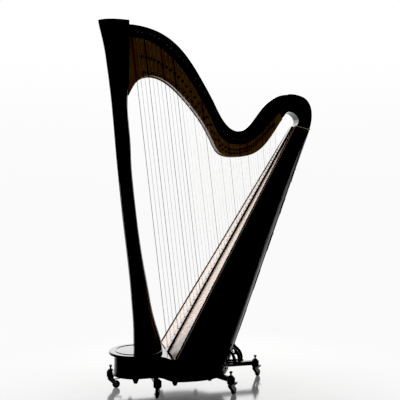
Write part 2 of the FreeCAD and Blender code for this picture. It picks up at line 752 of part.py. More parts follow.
def make_caster(name, x, y, yaw):
    turn = FreeCAD.Rotation(V(0, 0, 1), yaw)
    spot = V(x, y, 0)
    half = dim("wheel_width") / 2
    gap = dim("running_gap")
    trail = dim("trail")
    wheel = dim("wheel_radius")
    inside = half + 0.6
    outside = inside + dim("cheek_thick")
    crown = dim("housing_bottom") - 2

    fork = slab(-14, 14, -outside, outside, crown - 4, crown)
    for side in (-1, 1):
        cheek = Part.Face(Part.makePolygon([
            V(-14, 0, crown - 4), V(14, 0, crown - 4), V(trail + 8, 0, wheel + 4), V(trail + 6, 0, wheel - 7),
            V(trail - 6, 0, wheel - 7), V(-14, 0, crown - 12), V(-14, 0, crown - 4)]))
        cheek = cheek.extrude(V(0, dim("cheek_thick"), 0))
        cheek.translate(V(0, inside if side > 0 else -outside, 0))
        fork = fork.fuse(cheek)
    fork = fork.fuse(Part.makeCylinder(dim("stem_radius"), dim("stem_length"), V(0, 0, crown)))
    axle = Part.makeCylinder(dim("axle_radius"), 2 * outside + 4, V(trail, -outside - 2, wheel), V(0, 1, 0))
    fork = fork.fuse(axle)
    pivot = V(dim("lever_x"), 0, crown - dim("lever_drop"))
    pin = dim("lever_pin_radius")
    fork = fork.cut(Part.makeCylinder(pin + gap, 60, pivot - V(0, 30, 0), V(0, 1, 0)))
    feature("caster_fork_" + name, fork.removeSplitter(), turn, spot)

    body = new_body("caster_wheel_" + name)
    bore = dim("axle_radius") + gap
    outline = closed([(bore, -half), (9, -half), (10, -half + 2), (14, -half + 2), (15.5, -half + 0.6),
                      (wheel - 2, -half + 0.6), (wheel, -half + 3), (wheel, half - 3),
                      (wheel - 2, half - 0.6), (15.5, half - 0.6), (14, half - 2), (10, half - 2),
                      (9, half), (bore, half)])
    add_turn(body, outline)
    flat = FreeCAD.Rotation(V(1, 0, 0), 90)
    place(body, "caster_wheel_" + name, turn * flat, spot + turn.multVec(V(trail, 0, wheel)))

    lever = slab(0, 40, -inside + 1, inside - 1, -1.5, 1.5)
    lever = lever.fuse(slab(30, 44, -inside + 1, inside - 1, 0, 4))
    lever = lever.fuse(Part.makeCylinder(3, 2 * inside - 2, V(0, -inside + 1, 0), V(0, 1, 0)))
    lever = lever.fuse(Part.makeCylinder(pin, 2 * outside, V(0, -outside, 0), V(0, 1, 0)))
    tilt = FreeCAD.Rotation(V(0, 1, 0), -8)
    feature("caster_brake_" + name, lever.removeSplitter(), turn * tilt, spot + turn.multVec(pivot))


# ----------------------------------------------------------------- build it
make_column()
make_neck()
make_plate("action_plate_left", back=False)
make_plate("action_plate_right", back=True)
make_shoulder()
make_soundbox()
make_joint_strip()
make_strings()
make_discs()
make_base()
make_pedals()
make_beam()
make_arms()
make_housings()
for caster, (caster_x, caster_y, caster_yaw) in CASTERS.items():
    make_caster(caster, caster_x, caster_y, caster_yaw)
doc.recompute()

for item in doc.Objects:
    if "Invalid" in item.State or "Error" in item.State:
        raise RuntimeError("failed object: " + item.Label)
box = FreeCAD.BoundBox()
for item in sub_parts:
    shape = item.Shape
    if shape.isNull() or not shape.isValid() or not shape.Solids:
        raise RuntimeError("bad shape: " + item.Label)
    box.add(shape.BoundBox)
    shape.exportStep(f"parts/{item.Label}.step")
print(len(sub_parts), "sub-parts; box", box)
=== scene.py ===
import bmesh
import bpy
import math
import numpy as np
from mathutils import Matrix, Vector


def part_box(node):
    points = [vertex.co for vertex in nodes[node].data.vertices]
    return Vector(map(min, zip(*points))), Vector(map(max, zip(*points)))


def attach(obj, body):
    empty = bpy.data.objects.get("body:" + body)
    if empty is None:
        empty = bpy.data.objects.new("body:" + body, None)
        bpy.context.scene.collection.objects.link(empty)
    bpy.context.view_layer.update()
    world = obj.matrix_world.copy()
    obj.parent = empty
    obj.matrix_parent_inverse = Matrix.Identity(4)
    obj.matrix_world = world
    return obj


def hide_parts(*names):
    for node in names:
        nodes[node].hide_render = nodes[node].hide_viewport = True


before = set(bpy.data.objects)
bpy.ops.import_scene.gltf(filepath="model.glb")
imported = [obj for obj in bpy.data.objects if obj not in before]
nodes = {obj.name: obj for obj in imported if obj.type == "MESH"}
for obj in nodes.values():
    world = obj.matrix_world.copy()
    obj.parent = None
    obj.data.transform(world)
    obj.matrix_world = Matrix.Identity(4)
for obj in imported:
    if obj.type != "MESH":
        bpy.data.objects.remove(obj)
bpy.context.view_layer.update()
TILT = math.radians(30.5)
COLUMN_FOOT_X = -0.3289
LAST_STRING = 46
FIRST_GUT_STRING = 12
MOVING_STRING = 14


# ---------------------------------------------------------------- materials
class Recipe:
    """A procedural material on object coordinates, in metres."""

    def __init__(self, name):
        self.material = bpy.data.materials.new(name)
        self.material.use_nodes = True
        self.tree = self.material.node_tree
        self.shader = self.tree.nodes["Principled BSDF"]
        self.place = self.tree.nodes.new("ShaderNodeTexCoord").outputs["Object"]

    def link(self, source, target):
        self.tree.links.new(source, target)

    def node(self, kind, **values):
        made = self.tree.nodes.new("ShaderNode" + kind)
        for key, value in values.items():
            setattr(made, key, value)
        return made

    def feed(self, socket, value):
        """Give a socket a number, a colour or another node's output."""
        if isinstance(value, bpy.types.NodeSocket):
            self.link(value, socket)
        else:
            socket.default_value = value

    def stretched(self, scale=(1, 1, 1), turn=(0, 0, 0)):
        mapping = self.node("Mapping", vector_type="TEXTURE")
        mapping.inputs["Rotation"].default_value = turn
        mapping.inputs["Scale"].default_value = scale
        self.link(self.place, mapping.inputs["Vector"])
        return mapping.outputs["Vector"]

    def noise(self, scale, detail=4.0, rough=0.55, where=None, twist=0.0):
        made = self.node("TexNoise")
        self.link(where or self.place, made.inputs["Vector"])
        made.inputs["Scale"].default_value = scale
        made.inputs["Detail"].default_value = detail
        made.inputs["Roughness"].default_value = rough
        made.inputs["Distortion"].default_value = twist
        return made.outputs["Fac"]

    def wave(self, scale, where=None, direction="X", twist=0.0, fine=2.0):
        made = self.node("TexWave", bands_direction=direction)
        self.link(where or self.place, made.inputs["Vector"])
        made.inputs["Scale"].default_value = scale
        made.inputs["Distortion"].default_value = twist
        made.inputs["Detail"].default_value = fine
        return made.outputs["Fac"]

    def spread(self, value, low, high, start=0.0, end=1.0):
        made = self.node("MapRange")
        self.link(value, made.inputs["Value"])
        for key, number in (("From Min", start), ("From Max", end), ("To Min", low), ("To Max", high)):
            made.inputs[key].default_value = number
        return made.outputs["Result"]

    def maths(self, operation, a, b=0.0):
        made = self.node("Math", operation=operation)
        self.feed(made.inputs[0], a)
        self.feed(made.inputs[1], b)
        return made.outputs[0]

    def ramp(self, value, *stops):
        made = self.node("ValToRGB")
        self.link(value, made.inputs["Fac"])
        marks = made.color_ramp.elements
        while len(marks) < len(stops):
            marks.new(0.5)
        for mark, (spot, colour) in zip(marks, stops):
            mark.position = spot
            mark.color = (*colour, 1)
        return made.outputs["Color"]

    def blend(self, share, first, second, mode="MIX"):
        made = self.node("Mix", data_type="RGBA", blend_type=mode)
        self.feed(made.inputs["Factor"], share)
        for socket, colour in ((made.inputs[6], first), (made.inputs[7], second)):
            self.feed(socket, colour if isinstance(colour, bpy.types.NodeSocket) else (*colour, 1))
        return made.outputs[2]

    def edges(self, radius):
        """0 on flat ground, rising on sharp edges, for wear."""
        bevel = self.node("Bevel", samples=4)
        bevel.inputs["Radius"].default_value = radius
        normal = self.node("NewGeometry").outputs["Normal"]
        made = self.node("VectorMath", operation="DOT_PRODUCT")
        self.link(bevel.outputs["Normal"], made.inputs[0])
        self.link(normal, made.inputs[1])
        return self.spread(made.outputs["Value"], 1.0, 0.0, 0.7, 0.99)

    def bump(self, height, strength, distance, after=None):
        made = self.node("Bump")
        made.inputs["Strength"].default_value = strength
        made.inputs["Distance"].default_value = distance
        self.link(height, made.inputs["Height"])
        if after is not None:
            self.link(after, made.inputs["Normal"])
        return made.outputs["Normal"]

    def finish(self, colour, rough, metal=0.0, normal=None, **more):
        sockets = self.shader.inputs
        if not isinstance(colour, bpy.types.NodeSocket):
            colour = (*colour, 1)
        self.feed(sockets["Base Color"], colour)
        self.feed(sockets["Roughness"], rough)
        self.feed(sockets["Metallic"], metal)
        if normal is not None:
            self.link(normal, sockets["Normal"])
        for key, value in more.items():
            self.feed(sockets[key.replace("_", " ")], value)
        return self.material


def lacquer():
    """Black polished lacquer: a deep gloss with faint waviness and haze."""
    r = Recipe("black_lacquer")
    haze = r.noise(9, 5, 0.6)
    fine = r.noise(900, 2, 0.5)
    dust = r.spread(r.noise(2600, 1, 0.4), 0.0, 1.0, 0.70, 0.76)
    base = r.blend(r.spread(haze, 0.0, 1.0, 0.35, 0.7), (0.0035, 0.0034, 0.0036), (0.0062, 0.0058, 0.0060))
    colour = r.blend(r.maths("MULTIPLY", dust, 0.25), base, (0.05, 0.05, 0.05))
    rough = r.maths("ADD", r.spread(haze, 0.045, 0.115, 0.3, 0.7), r.maths("MULTIPLY", dust, 0.2))
    wavy = r.bump(r.noise(26, 2, 0.4), 0.05, 0.004)
    normal = r.bump(fine, 0.04, 0.0003, wavy)
    return r.finish(colour, rough, normal=normal, Specular_IOR_Level=0.30, Coat_Weight=0.30,
                    Coat_Roughness=0.03, Coat_IOR=1.45)


def spruce():
    """The soundboard's pale veneer, its grain running up the board."""
    r = Recipe("soundboard_spruce")
    up = (0, TILT, 0)
    long = r.stretched((0.02, 0.012, 1.1), up)
    lines = r.wave(7.0, r.stretched((1, 0.05, 12), up), "Y", 1.6, 3)
    rays = r.noise(9, 6, 0.65, long, 0.4)
    patch = r.noise(3.5, 3, 0.5)
    grain = r.ramp(rays, (0.30, (0.62, 0.43, 0.33)), (0.55, (0.78, 0.61, 0.51)), (0.80, (0.86, 0.72, 0.63)))
    colour = r.blend(r.spread(lines, 0.0, 0.30, 0.62, 1.0), grain, (0.55, 0.36, 0.26))
    colour = r.blend(r.spread(patch, 0.0, 0.30, 0.4, 0.7), colour, (0.84, 0.66, 0.55))
    pores = r.spread(r.noise(300, 2, 0.5, long), 0, 1, 0.55, 0.75)
    normal = r.bump(r.maths("ADD", r.maths("MULTIPLY", lines, 0.5), pores), 0.12, 0.0006)
    return r.finish(colour, r.spread(rays, 0.24, 0.40, 0.3, 0.7), normal=normal, Coat_Weight=0.35,
                    Coat_Roughness=0.12)


def brown_wood(name, dark, light, rough, coat=0.6, gloss=0.5):
    """Stained hardwood strips with the grain along the board."""
    r = Recipe(name)
    up = (0, TILT, 0)
    grain = r.noise(14, 6, 0.7, r.stretched((0.03, 0.03, 0.8), up), 0.8)
    pores = r.spread(r.noise(90, 3, 0.6, r.stretched((0.1, 0.1, 1.2), up)), 0, 1, 0.58, 0.70)
    colour = r.ramp(grain, (0.28, dark), (0.72, light))
    colour = r.blend(r.maths("MULTIPLY", pores, 0.6), colour, (0.012, 0.005, 0.003))
    normal = r.bump(pores, 0.25, 0.0004)
    return r.finish(colour, r.spread(grain, rough, rough + 0.12), normal=normal, Coat_Weight=coat,
                    Coat_Roughness=0.06, Specular_IOR_Level=gloss)


def brushed(name, dark, light, rough, metal=1.0, scale=1.0, along=(0.02, 1, 1), wear=None):
    """Metal with fine drawn lines, cloudy tarnish and brighter worn edges."""
    r = Recipe(name)
    drawn = r.noise(420 * scale, 4, 0.6, r.stretched(along))
    cloud = r.noise(13 * scale, 5, 0.6)
    spots = r.spread(r.noise(240 * scale, 3, 0.6), 0, 1, 0.66, 0.76)
    colour = r.ramp(cloud, (0.32, dark), (0.70, light))
    colour = r.blend(r.maths("MULTIPLY", spots, 0.45), colour, tuple(c * 0.35 for c in dark))
    if wear:
        colour = r.blend(r.edges(wear), colour, tuple(min(1, c * 1.5 + 0.04) for c in light))
    shine = r.maths("ADD", r.spread(drawn, rough, rough + 0.14, 0.3, 0.7), r.maths("MULTIPLY", spots, 0.15))
    normal = r.bump(drawn, 0.12, 0.0002)
    return r.finish(colour, shine, metal, normal)


def painted(name, colour, rough, grit, wear=0.0012, bare=(0.32, 0.31, 0.30)):
    """Powder-coated steel: fine texture and rubbed-through corners."""
    r = Recipe(name)
    cloud = r.noise(22, 4, 0.6)
    speck = r.noise(1500, 2, 0.5)
    base = r.blend(r.spread(cloud, 0, 1, 0.3, 0.7), colour, tuple(c * 1.7 + 0.002 for c in colour))
    rub = r.maths("MULTIPLY", r.edges(wear), r.spread(r.noise(160, 4, 0.6), 0, 1, 0.48, 0.62))
    tone = r.blend(rub, base, bare)
    shine = r.maths("ADD", r.spread(cloud, rough, rough + 0.12, 0.3, 0.7), r.spread(speck, -0.05, 0.05))
    return r.finish(tone, shine, r.maths("MULTIPLY", rub, 0.8), r.bump(speck, grit, 0.0004))


def rubber(name, colour, rough=0.62, scuff=(0.16, 0.155, 0.15)):
    """Rubber with moulded grain and dust in patches."""
    r = Recipe(name)
    cloud = r.noise(60, 5, 0.65)
    grain = r.noise(1900, 2, 0.5)
    base = r.blend(r.spread(cloud, 0, 1, 0.35, 0.7), colour, tuple(c * 2.2 + 0.004 for c in colour))
    dust = r.maths("MULTIPLY", r.spread(r.noise(35, 5, 0.7), 0, 1, 0.5, 0.75), 0.35)
    tone = r.blend(dust, base, scuff)
    return r.finish(tone, r.spread(cloud, rough, rough + 0.2), normal=r.bump(grain, 0.2, 0.0004))


def string_finish(name, dark, light, rough, clear=0.0, wound=False, metal=0.0):
    """Gut and nylon are cloudy along their length; wound strings are ribbed."""
    r = Recipe(name)
    cloud = r.noise(60, 3, 0.6, r.stretched((1, 1, 6)))
    colour = r.ramp(cloud, (0.3, dark), (0.7, light))
    height = r.wave(160, None, "Z", 0.0, 0.0) if wound else r.noise(700, 2, 0.5)
    normal = r.bump(height, 0.7 if wound else 0.1, 0.0002)
    return r.finish(colour, r.spread(cloud, rough, rough + 0.12), metal, normal, Subsurface_Weight=clear,
                    Subsurface_Scale=0.002, Transmission_Weight=clear * 5)


LACQUER = lacquer()
SPRUCE = spruce()
MOULDING = brown_wood("moulding_wood", (0.008, 0.003, 0.0015), (0.034, 0.013, 0.006), 0.36, 0.0, 0.12)
STRIP = brown_wood("centre_strip_wood", (0.012, 0.004, 0.002), (0.045, 0.017, 0.008), 0.14)
PURFLING = brown_wood("purfling_maple", (0.42, 0.28, 0.17), (0.62, 0.45, 0.30), 0.30)
BEECH = brown_wood("rib_beech", (0.36, 0.22, 0.12), (0.55, 0.38, 0.23), 0.45)
PLATE = brushed("plate_brass", (0.41, 0.265, 0.140), (0.57, 0.378, 0.210), 0.30, along=(1, 1, 0.02),
                wear=0.0008)
DISC = brushed("disc_brass", (0.085, 0.058, 0.030), (0.16, 0.110, 0.060), 0.26, scale=3)
CAP = rubber("pedal_cap", (0.006, 0.006, 0.006), 0.5, (0.03, 0.029, 0.028))
GILT = brushed("gilt_brass", (0.34, 0.22, 0.10), (0.50, 0.34, 0.165), 0.26, wear=0.0006)
JOINT = brushed("joint_brass", (0.84, 0.70, 0.50), (0.94, 0.82, 0.64), 0.50)
NICKEL = brushed("pin_nickel", (0.28, 0.30, 0.34), (0.46, 0.485, 0.53), 0.26, scale=3)
STEEL = brushed("drawn_steel", (0.10, 0.10, 0.105), (0.20, 0.20, 0.205), 0.24, scale=2)
ZINC = brushed("plated_steel", (0.11, 0.11, 0.115), (0.22, 0.22, 0.22), 0.26, scale=2, wear=0.0005)
PAINT = painted("trolley_paint", (0.007, 0.007, 0.008), 0.30, 0.25)
PLASTIC = painted("black_nylon", (0.010, 0.010, 0.011), 0.36, 0.35, bare=(0.05, 0.05, 0.05))
TYRE = rubber("tyre_rubber", (0.011, 0.011, 0.012))
FOOT = rubber("foot_rubber", (0.010, 0.010, 0.010), 0.55)
HUB = painted("hub_nylon", (0.10, 0.10, 0.105), 0.34, 0.25, bare=(0.2, 0.2, 0.2))
GUT = string_finish("string_gut", (0.66, 0.60, 0.52), (0.84, 0.78, 0.70), 0.34, 0.14)
RED_GUT = string_finish("string_red", (0.16, 0.010, 0.008), (0.28, 0.022, 0.016), 0.30, 0.02)
DARK_GUT = string_finish("string_dark", (0.004, 0.007, 0.014), (0.012, 0.018, 0.032), 0.30)
SILVER_WIRE = string_finish("wire_silver", (0.62, 0.62, 0.63), (0.80, 0.80, 0.80), 0.32, 0, True, 1.0)
RED_WIRE = string_finish("wire_copper", (0.15, 0.022, 0.014), (0.24, 0.045, 0.028), 0.38, 0, True, 0.4)
DARK_WIRE = string_finish("wire_dark", (0.008, 0.012, 0.022), (0.02, 0.026, 0.045), 0.38, 0, True, 0.3)

FINISH = {
    "column_shell": LACQUER, "column_cap": LACQUER, "neck": LACQUER, "shoulder_block": LACQUER,
    "soundbox_shell": LACQUER, "base_box": LACQUER, "base_lid": LACQUER, "base_floor": LACQUER,
    "plinth": LACQUER, "back_strip": LACQUER, "soundboard": SPRUCE, "edge_mouldings": MOULDING,
    "centre_strip": STRIP, "soundbox_ribs": BEECH, "joint_strip": JOINT,
    "action_plate_left": PLATE, "action_plate_right": PLATE, "column_tube": STEEL,
    "pedal_rods": STEEL, "pedal_pivot_bar": STEEL, "pedal_springs": STEEL, "harp_feet": FOOT,
    "dolly_beam": PAINT, "dolly_arms": PAINT, "caster_housings": PAINT, "caster_knobs": PLASTIC,
    "caster_fork": ZINC, "caster_wheel": TYRE, "caster_brake": PLASTIC,
    "pedal_arm": STEEL, "pedal_tip": GILT, "strings": GUT, "string_eyelets": GILT,
    "bridge_pins": NICKEL, "tuning_pins": NICKEL, "natural_disc": DISC, "sharp_disc": DISC,
}


def smooth_normals(obj, limit=35.0):
    """Shade a CAD node smoothly over its facets; its points stay where they are."""
    mesh = obj.data
    points = np.zeros(len(mesh.vertices) * 3)
    mesh.vertices.foreach_get("co", points)
    points = points.reshape(-1, 3)
    keys = np.unique(np.round(points, 6), axis=0, return_inverse=True)[1].ravel()
    faces = np.zeros(len(mesh.polygons) * 3)
    mesh.polygons.foreach_get("normal", faces)
    faces = faces.reshape(-1, 3)
    areas = np.zeros(len(mesh.polygons))
    mesh.polygons.foreach_get("area", areas)
    corners = np.zeros(len(mesh.loops), int)
    mesh.loops.foreach_get("vertex_index", corners)
    owner = np.zeros(len(mesh.loops), int)
    for polygon in mesh.polygons:
        owner[polygon.loop_indices] = polygon.index
    welded = keys[corners]
    order = np.argsort(welded, kind="stable")
    starts = np.searchsorted(welded[order], np.arange(welded.max() + 2))
    least = math.cos(math.radians(limit))
    result = np.zeros((len(mesh.loops), 3))
    for spot in range(len(starts) - 1):
        loops = order[starts[spot]:starts[spot + 1]]
        normals = faces[owner[loops]]
        weights = areas[owner[loops]]
        near = (normals @ normals.T) >= least
        summed = near @ (normals * weights[:, None])
        size = np.linalg.norm(summed, axis=1, keepdims=True)
        result[loops] = np.where(size > 1e-12, summed / np.maximum(size, 1e-12), normals)
    mesh.polygons.foreach_set("use_smooth", np.ones(len(mesh.polygons), bool))
    mesh.normals_split_custom_set(result.tolist())


for name, obj in nodes.items():
    material = next(FINISH[key] for key in sorted(FINISH, key=len, reverse=True) if name.startswith(key))
    obj.data.materials.clear()
    obj.data.materials.append(material)
    smooth_normals(obj)


# ----------------------------------------------------------- mesh building
class Shape:
    """Points and faces gathered for one piece, with a material slot for each face."""

    def __init__(self):
        self.points = []
        self.faces = []
        self.slots = []

    def add(self, solid, place=Matrix(), slot=0):
        points, faces = solid
        start = len(self.points)
        self.points += [place @ Vector(p) for p in points]
        self.faces += [tuple(start + corner for corner in face) for face in faces]
        self.slots += [slot] * len(faces)
        return self

    def build(self, name, body, materials, slot, replaces=(), sharp=38.0):
        mesh = bpy.data.meshes.new(name)
        mesh.from_pydata([tuple(p) for p in self.points], [], self.faces)
        for material in materials:
            mesh.materials.append(material)
        mesh.polygons.foreach_set("material_index", self.slots)
        mesh.polygons.foreach_set("use_smooth", [True] * len(mesh.polygons))
        mesh.set_sharp_from_angle(angle=math.radians(sharp))
        mesh.update()
        obj = bpy.data.objects.new(name, mesh)
        bpy.context.scene.collection.objects.link(obj)
        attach(obj, body)
        if replaces:
            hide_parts(*replaces)
        return obj


def lathe(profile, sides=24, turn=0.0):
    """Radius and height pairs turned about Z, closed at both ends."""
    points = []
    faces = []
    for radius, height in profile:
        for step in range(sides):
            angle = 2 * math.pi * step / sides + turn
            points.append((radius * math.cos(angle), radius * math.sin(angle), height))
    for ring in range(len(profile) - 1):
        for step in range(sides):
            a = ring * sides + step
            b = ring * sides + (step + 1) % sides
            faces.append((a, b, b + sides, a + sides))
    faces.append(tuple(reversed(range(sides))))
    last = (len(profile) - 1) * sides
    faces.append(tuple(range(last, last + sides)))
    return points, faces


def ring_lathe(section, sides=96):
    """A closed section of radius and height pairs turned about Z into a ring."""
    points = []
    faces = []
    count = len(section)
    for step in range(sides):
        angle = 2 * math.pi * step / sides
        for radius, height in section:
            points.append((radius * math.cos(angle), radius * math.sin(angle), height))
    for step in range(sides):
        for index in range(count):
            a = step * count + index
            b = step * count + (index + 1) % count
            c = ((step + 1) % sides) * count + (index + 1) % count
            d = ((step + 1) % sides) * count + index
            faces.append((a, d, c, b))
    return points, faces


def tube(path, radius, sides=8):
    """A round tube along a list of points, with flat ends."""
    path = [Vector(p) for p in path]
    points = []
    faces = []
    ahead = (path[1] - path[0]).normalized()
    side = ahead.orthogonal().normalized()
    for index, spot in enumerate(path):
        before = path[max(0, index - 1)]
        after = path[min(len(path) - 1, index + 1)]
        run = (after - before).normalized()
        side = (side - run * side.dot(run)).normalized()
        across = run.cross(side)
        for step in range(sides):
            angle = 2 * math.pi * step / sides
            points.append(spot + side * (radius * math.cos(angle)) + across * (radius * math.sin(angle)))
    for ring in range(len(path) - 1):
        for step in range(sides):
            a = ring * sides + step
            b = ring * sides + (step + 1) % sides
            faces.append((a, b, b + sides, a + sides))
    faces.append(tuple(reversed(range(sides))))
    last = (len(path) - 1) * sides
    faces.append(tuple(range(last, last + sides)))
    return points, faces


def extruded(outline, low, high, bevel=0.0, segments=2):
    """A flat outline in XY raised between two heights, its edges rounded."""
    made = bmesh.new()
    bottom = [made.verts.new((x, y, low)) for x, y in outline]
    top = [made.verts.new((x, y, high)) for x, y in outline]
    made.faces.new(list(reversed(bottom)))
    made.faces.new(top)
    for index in range(len(outline)):
        after = (index + 1) % len(outline)
        made.faces.new((bottom[index], bottom[after], top[after], top[index]))
    if bevel:
        bmesh.ops.bevel(made, geom=made.edges[:], offset=bevel, segments=segments, affect="EDGES",
                        profile=0.5, clamp_overlap=True)
    made.verts.index_update()
    points = [tuple(v.co) for v in made.verts]
    faces = [tuple(v.index for v in face.verts) for face in made.faces]
    made.free()
    return points, faces


def toward(direction, at=(0, 0, 0), spin=0.0):
    """Turns a solid's Z axis to a direction and moves it to a point."""
    turn = Vector(direction).to_track_quat("Z", "Y").to_matrix().to_4x4()
    return Matrix.Translation(Vector(at)) @ turn @ Matrix.Rotation(spin, 4, "Z")


def slotted_head(radius, height, slot):
    """A screw head: a low collar and two half moons with the slot between them."""
    collar = lathe([(radius * 0.96, 0), (radius, height * 0.15), (radius, height * 0.5)], 20)
    parts = [collar]
    for side in (-1, 1):
        low = math.asin(slot / 2 / radius)
        moon = []
        for step in range(11):
            angle = low + (math.pi - 2 * low) * step / 10
            moon.append((radius * math.cos(angle), side * radius * math.sin(angle)))
        if side < 0:
            moon.reverse()
        parts.append(extruded(moon, height * 0.45, height, height * 0.16, 1))
    return parts


def islands(name):
    """The separate solids of a CAD node, as point arrays in the node's order."""
    mesh = nodes[name].data
    points = np.zeros(len(mesh.vertices) * 3)
    mesh.vertices.foreach_get("co", points)
    points = points.reshape(-1, 3)
    keys = np.unique(np.round(points, 6), axis=0, return_inverse=True)[1].ravel()
    parent = list(range(keys.max() + 1))

    def root(item):
        while parent[item] != item:
            parent[item] = parent[parent[item]]
            item = parent[item]
        return item

    for polygon in mesh.polygons:
        corners = [root(keys[v]) for v in polygon.vertices]
        for other in corners[1:]:
            parent[other] = corners[0]
            corners[0] = root(other)
    groups = {}
    for index, key in enumerate(keys):
        groups.setdefault(root(key), []).append(index)
    return [points[indices] for indices in groups.values()]


def rod_ends(points):
    """The middles of both ends of a straight rod, lower first, and its radius."""
    centre = points.mean(0)
    axis = np.linalg.svd(points - centre, full_matrices=False)[2][0]
    along = (points - centre) @ axis
    ends = [centre + axis * along.min(), centre + axis * along.max()]
    off = points - centre - np.outer(along, axis)
    ends.sort(key=lambda p: p[2])
    return Vector(ends[0]), Vector(ends[1]), float(np.linalg.norm(off, axis=1).max())


# ------------------------------------------------------------------ strings
def string_runs():
    """Every string's foot, bridge point, tuning-pin point and radius, bass first."""
    rods = [rod_ends(points) for points in islands("strings")]
    rods.sort(key=lambda rod: (rod[1] - rod[0]).length)
    board = sorted((rod for rod in rods if abs(rod[0].y) < 0.004), key=lambda rod: rod[0].x)
    rises = sorted((rod for rod in rods if abs(rod[0].y) >= 0.004), key=lambda rod: rod[0].x)
    return [(low[0], low[1], high[1], low[2]) for low, high in zip(board, rises)]


def make_strings():
    """Wire-wound bass strings and gut, red for C and dark for F, wound on their pins."""
    pins = sorted((points for points in islands("tuning_pins")), key=lambda p: p.mean(0)[0])
    kinds = {
        "strings_gut": (GUT, 10), "strings_red": (RED_GUT, 10), "strings_dark": (DARK_GUT, 10),
        "wires_silver": (SILVER_WIRE, 10), "wires_copper": (RED_WIRE, 10), "wires_dark": (DARK_WIRE, 10),
    }
    shapes = {kind: Shape() for kind in kinds}
    for number, ((foot, bridge, top, radius), pin) in enumerate(zip(string_runs(), pins)):
        note = number % 7
        if number < FIRST_GUT_STRING:
            kind = {0: "wires_copper", 3: "wires_dark"}.get(note, "wires_silver")
        else:
            kind = {0: "strings_red", 3: "strings_dark"}.get(note, "strings_gut")
        if note == 3 or (note == 0 and number < MOVING_STRING):
            radius *= 1.60 - 0.20 * number / LAST_STRING
        centre = Vector(((pin[:, 0].min() + pin[:, 0].max()) / 2, top.y,
                         (pin[:, 2].min() + pin[:, 2].max()) / 2))
        reach = (pin[:, 0].max() - pin[:, 0].min()) / 2 + radius
        path = [foot + (foot - bridge).normalized() * 0.0006, foot.lerp(bridge, 0.5), bridge]
        path += [bridge + (top - bridge) * share for share in (0.1, 0.5, 0.85)]
        for step in range(0, 53):
            angle = math.pi - 2 * math.pi * step / 16
            side = step / 16 * (2 * radius + 0.00015)
            path.append(centre + Vector((reach * math.cos(angle), side, reach * math.sin(angle))))
        shapes[kind].add(tube(path, radius, kinds[kind][1]))
    for kind, shape in shapes.items():
        replaced = ("strings",) if kind == "strings_gut" else ()
        shape.build(kind, "harp", [kinds[kind][0]], "gut", replaced)


def make_pins():
    """Tuning pins with squared ends, grooved bridge pins and board eyelets."""
    tuning = Shape()
    bushes = Shape()
    neck_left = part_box("neck")[0].y
    neck_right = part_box("neck")[1].y
    for pin in islands("tuning_pins"):
        low, high = pin.min(0), pin.max(0)
        radius = (high[0] - low[0]) / 2
        x, z = (low[0] + high[0]) / 2, (low[2] + high[2]) / 2
        length = high[1] - low[1]
        shaft = [(0, 0), (radius * 0.75, 0), (radius, 0.0007), (radius, length - 0.019)]
        tuning.add(lathe(shaft + [(radius * 0.97, length - 0.0175)], 20), toward((0, 1, 0), (x, low[1], z)))
        spin = 0.25 * math.sin(7.0 * x * 40)
        square = lathe([(radius * 1.05, 0), (radius * 0.98, 0.002), (radius * 0.86, 0.0168),
                        (radius * 0.70, 0.0175)], 4)
        tuning.add(square, toward((0, 1, 0), (x, high[1] - 0.0175, z), spin))
        for face, way in ((neck_left, -1), (neck_right, 1)):
            collar = ring_lathe([(radius * 1.03, 0), (radius * 1.75, 0), (radius * 1.75, 0.0004),
                                 (radius * 1.5, 0.0010), (radius * 1.03, 0.0011)], 20)
            bushes.add(collar, toward((0, way, 0), (x, face, z)))
    tuning.build("tuning_pins_turned", "harp", [NICKEL], "bright_steel", ("tuning_pins",))
    bushes.build("tuning_pin_bushes", "harp", [PAINT], "gold_brass")

    bridge = Shape()
    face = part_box("action_plate_left")[0].y
    for pin in islands("bridge_pins"):
        low, high = pin.min(0), pin.max(0)
        radius = (high[0] - low[0]) / 2
        x, z = (low[0] + high[0]) / 2, (low[2] + high[2]) / 2
        length = face - low[1]
        groove = length - 0.005
        profile = [
            (radius * 1.9, -0.0002), (radius * 1.9, 0.0008), (radius * 1.6, 0.0014), (radius * 1.02, 0.0016),
            (radius * 1.02, groove - 0.0015), (radius * 0.94, groove), (radius * 1.0, groove + 0.0015),
            (radius * 1.12, groove + 0.002), (radius * 1.12, length - 0.0012),
            (radius * 0.9, length - 0.0003), (radius * 0.5, length),
        ]
        bridge.add(lathe(profile, 20), toward((0, -1, 0), (x, face, z)))
    bridge.build("bridge_pins_turned", "harp", [NICKEL], "bright_steel", ("bridge_pins",))

    eyelets = Shape()
    out = Vector((-math.cos(TILT), 0, math.sin(TILT)))
    for ring in islands("string_eyelets"):
        flat = ring @ np.array(out)
        middle = Vector(ring.mean(0))
        base = middle + out * (flat.min() - middle.dot(out))
        high = flat.max() - flat.min()
        off = ring - np.array(middle)
        away = np.linalg.norm(off - np.outer(off @ np.array(out), np.array(out)), axis=1)
        wide, hole = away.max(), away.min()
        section = [(hole, 0), (wide, 0), (wide, high * 0.35), (wide * 0.86, high * 0.85),
                   (wide * 0.72, high), (hole * 1.05, high * 0.8)]
        eyelets.add(ring_lathe(section, 24), toward(out, base))
    eyelets.build("string_eyelets_turned", "harp", [GILT], "gold_brass", ("string_eyelets",))


